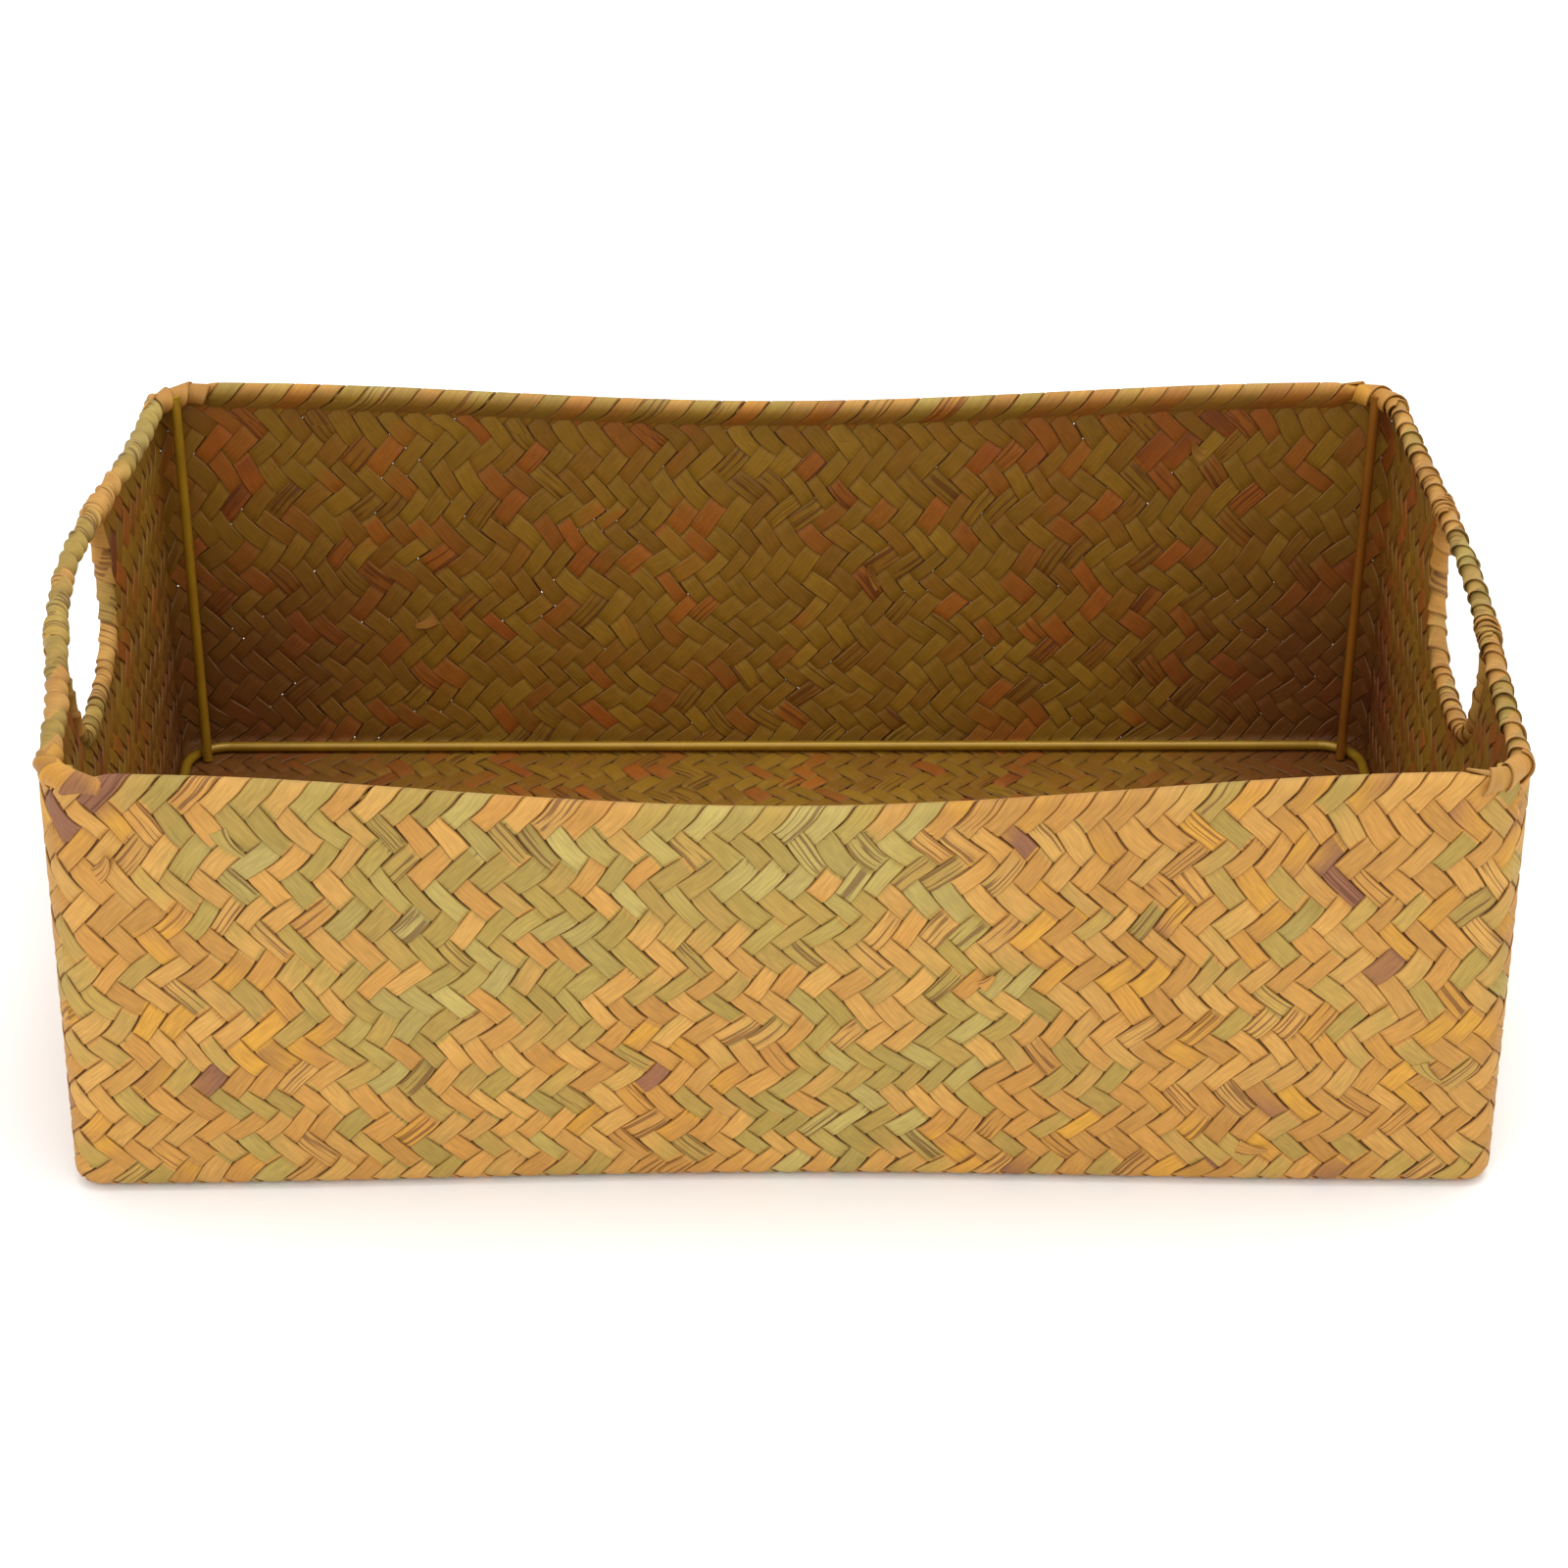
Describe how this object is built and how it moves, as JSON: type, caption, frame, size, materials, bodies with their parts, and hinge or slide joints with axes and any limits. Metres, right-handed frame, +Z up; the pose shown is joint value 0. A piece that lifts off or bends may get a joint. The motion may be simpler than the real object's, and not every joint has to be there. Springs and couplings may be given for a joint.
{
  "type": "bread basket",
  "caption": "Oblong plaited-rush bread basket on a welded wire frame, with folded long rims and a bound hand opening under the rim at each end.",
  "frame": {"origin": "middle of the base's underside, on the surface that the basket stands on", "axes": "+X along the length, towards the right end; +Y from the front long wall to the back one; +Z up"},
  "size_m": [0.411, 0.259, 0.1326],
  "materials": {
    "plait": "dried rush strands, plaited, matte with a faint sheen",
    "rim_strand": "dried rush strands, folded or wound, matte",
    "strand_ends": "bundled dried rush, matte",
    "frame_wire": "steel wire under olive-gold lacquer, satin"
  },
  "bodies": {
    "root": {"woven_base": "plait", "woven_front": "plait", "woven_back": "plait", "woven_left_end": "plait", "woven_right_end": "plait", "base_ring": "frame_wire", "rim_ring": "frame_wire", "post_front_left": "frame_wire", "post_front_right": "frame_wire", "post_back_left": "frame_wire", "post_back_right": "frame_wire", "front_rim_fold": "rim_strand", "back_rim_fold": "rim_strand", "left_grip_winding": "rim_strand", "right_grip_winding": "rim_strand", "lashing_front_left": "rim_strand", "lashing_front_right": "rim_strand", "lashing_back_left": "rim_strand", "lashing_back_right": "rim_strand", "left_edging_core": "strand_ends", "right_edging_core": "strand_ends", "left_edging_winding": "rim_strand", "right_edging_winding": "rim_strand"}
  },
  "joints": []
}
